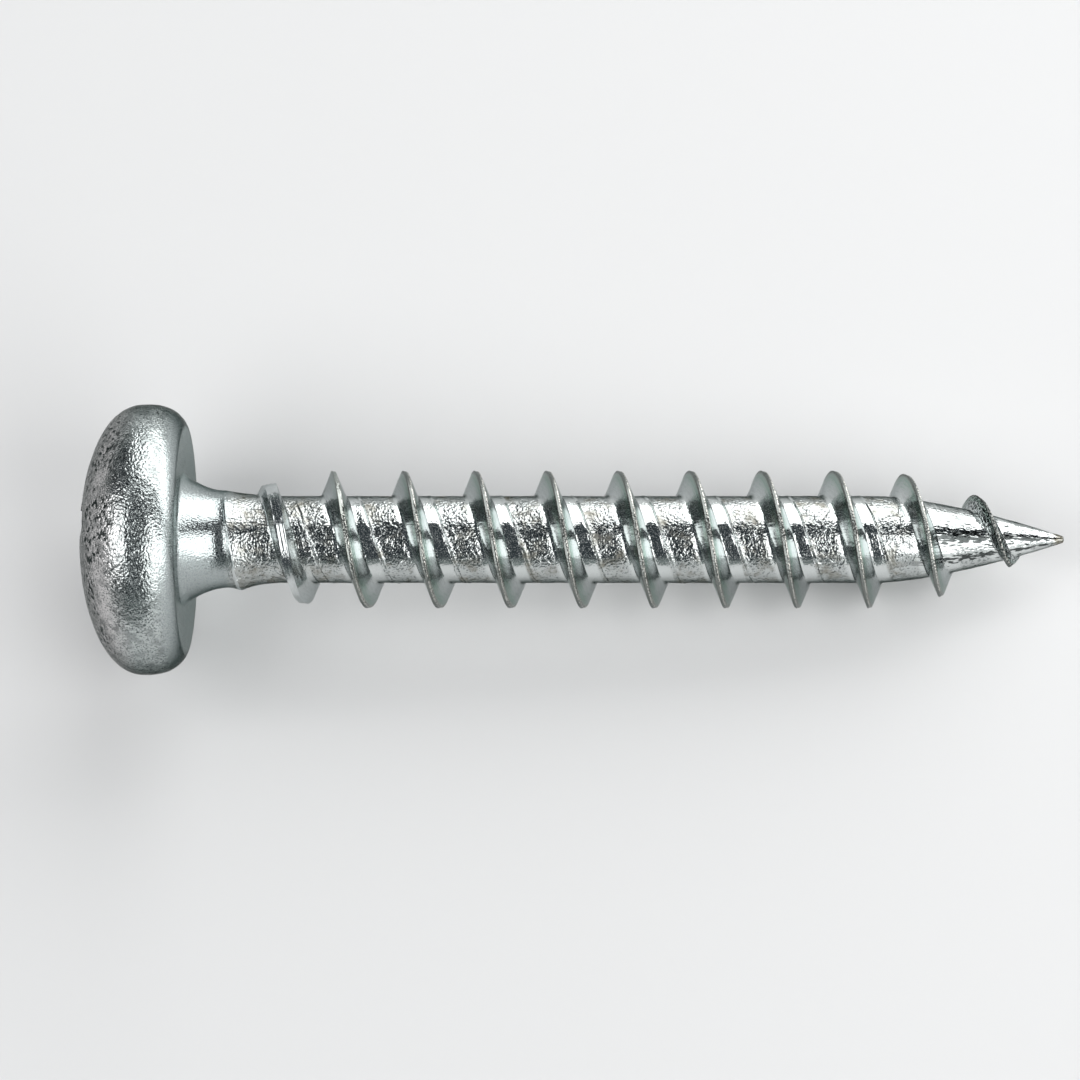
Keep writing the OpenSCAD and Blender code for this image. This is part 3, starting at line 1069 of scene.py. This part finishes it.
def sheet(name, half_width, material):
    """Level square sheet at floor height, centred on the origin."""
    mesh = bmesh.new()
    corners = ((-1, -1), (1, -1), (1, 1), (-1, 1))
    mesh.faces.new([mesh.verts.new((x * half_width, y * half_width, 0)) for x, y in corners])
    made = new_object(name, mesh)
    made.data.materials.append(material)
    return made


def picture_axes(lean):
    """Directions of the picture: to its right, along the screw; up; and towards the camera."""
    along, side, up = screw_frame().to_3x3().col
    towards = math.cos(lean) * up - math.sin(lean) * side
    upward = math.cos(lean) * side + math.sin(lean) * up
    return along, upward, towards


def lamp(name, axes, focus, up, height, ends, level):
    """Soft lamp panel, parallel to the screw. Its middle stands so many degrees up from the line to the
    camera, as seen from the focus, and it is so many degrees high. Its ends lie so many degrees to the
    right. At level 1 it is as bright as white paper."""
    along, upward, towards = axes
    turn = math.radians(up)
    out = math.cos(turn) * towards + math.sin(turn) * upward
    near_end, far_end = (LAMP_DISTANCE * math.tan(math.radians(end)) for end in ends)
    light = bpy.data.lights.new(name, "AREA")
    light.shape = "RECTANGLE"
    light.size = far_end - near_end
    light.size_y = 2 * LAMP_DISTANCE * math.tan(math.radians(height / 2))
    light.energy = level * math.pi * light.size * light.size_y
    made = bpy.data.objects.new(name, light)
    matrix = Matrix((along, out.cross(along), out)).transposed().to_4x4()
    matrix.translation = focus + out * LAMP_DISTANCE + along * (near_end + far_end) / 2
    made.matrix_world = matrix
    bpy.context.scene.collection.objects.link(made)


def room(ceiling, wall):
    """Room with a dark ceiling and walls that are paler towards the floor."""
    world = bpy.data.worlds.new("Dark room")
    world.use_nodes = True
    tree = world.node_tree
    tree.nodes.clear()
    add = partial(add_node, tree)
    direction = add("ShaderNodeTexCoord")
    height = add(SEPARATE, (direction,)).node.outputs["Z"]
    low = add(RANGE, (height, 0.0, 0.4, 1.0, 0.0))
    colour = add(MIX, (low, (*ceiling, 1.0), (*wall, 1.0)), data_type="RGBA")
    background = add("ShaderNodeBackground", {"Color": colour, "Strength": 1.0})
    output = tree.nodes.new("ShaderNodeOutputWorld")
    tree.links.new(background, output.inputs["Surface"])
    return world


class SCREW_OT_stage(bpy.types.Operator):
    """Lay the floor, hang the lamps and set up the camera"""

    bl_idname = "screw.stage"
    bl_label = "Studio"

    def execute(self, context):
        scene = context.scene
        stage = scene.studio_stage
        floor = sheet("floor", FLOOR_HALF_WIDTH, plain_material("Pale paper", stage.floor_colour))

        axes = picture_axes(stage.camera_lean)
        _, upward, towards = axes
        turn = screw_frame()
        focus = turn @ Vector((CAMERA_OVER, 0, 0))
        level = stage.lamp_level
        lamp("right_lamp", axes, focus, up=-13, height=56, ends=(14, 79), level=level)
        lamp("back_lamp", axes, focus, up=76.5, height=61, ends=(-6, 79), level=level)
        lamp("left_lamp", axes, focus, up=2, height=60, ends=(-73, -24), level=level)
        lamp("low_lamp", axes, focus, up=-62, height=42, ends=(14, 79), level=stage.low_lamp_level)
        scene.world = room(stage.room_colour, stage.wall_colour)

        data = bpy.data.cameras.new("camera")
        data.lens = stage.lens
        data.sensor_width = 36.0
        data.clip_start = 0.005
        data.clip_end = 20.0
        camera = bpy.data.objects.new("camera", data)
        place = focus + towards * stage.camera_distance
        target = turn @ Vector((CAMERA_AIM[0], 0, 0)) + upward * CAMERA_AIM[1]
        back = (place - target).normalized()
        right = upward.cross(back).normalized()
        matrix = Matrix((right, back.cross(right), back)).transposed().to_4x4()
        matrix.translation = place
        camera.matrix_world = matrix
        scene.collection.objects.link(camera)
        scene.camera = camera
        scene.view_settings.view_transform = "Standard"
        return {"FINISHED"}


class SCREW_PT_panel(bpy.types.Panel):
    """Sizes, colours and steps of the screw"""

    bl_idname = "SCREW_PT_panel"
    bl_label = "Chipboard screw"
    bl_space_type = "VIEW_3D"
    bl_region_type = "UI"
    bl_category = "Screw"

    def draw(self, context):
        for name in GROUPS:
            group = getattr(context.scene, name)
            box = self.layout.box()
            for item in group.bl_rna.properties:
                if item.identifier not in {"rna_type", "name"}:
                    box.prop(group, item.identifier)
        for operator in OPERATORS:
            self.layout.operator(operator.bl_idname)


GROUPS = {
    "screw_head": ScrewHead,
    "screw_drive": ScrewDrive,
    "screw_shank": ScrewShank,
    "zinc_finish": ZincFinish,
    "studio_stage": StudioStage,
}
OPERATORS = (SCREW_OT_head, SCREW_OT_thread, SCREW_OT_stage)


def register():
    for name, group in GROUPS.items():
        bpy.utils.register_class(group)
        setattr(bpy.types.Scene, name, bpy.props.PointerProperty(type=group))
    for operator in OPERATORS:
        bpy.utils.register_class(operator)
    bpy.utils.register_class(SCREW_PT_panel)


def unregister():
    bpy.utils.unregister_class(SCREW_PT_panel)
    for operator in reversed(OPERATORS):
        bpy.utils.unregister_class(operator)
    for name, group in reversed(GROUPS.items()):
        delattr(bpy.types.Scene, name)
        bpy.utils.unregister_class(group)


def main():
    register()
    bpy.ops.screw.head()
    bpy.ops.screw.thread()
    bpy.ops.screw.stage()


if __name__ == "__main__":
    main()
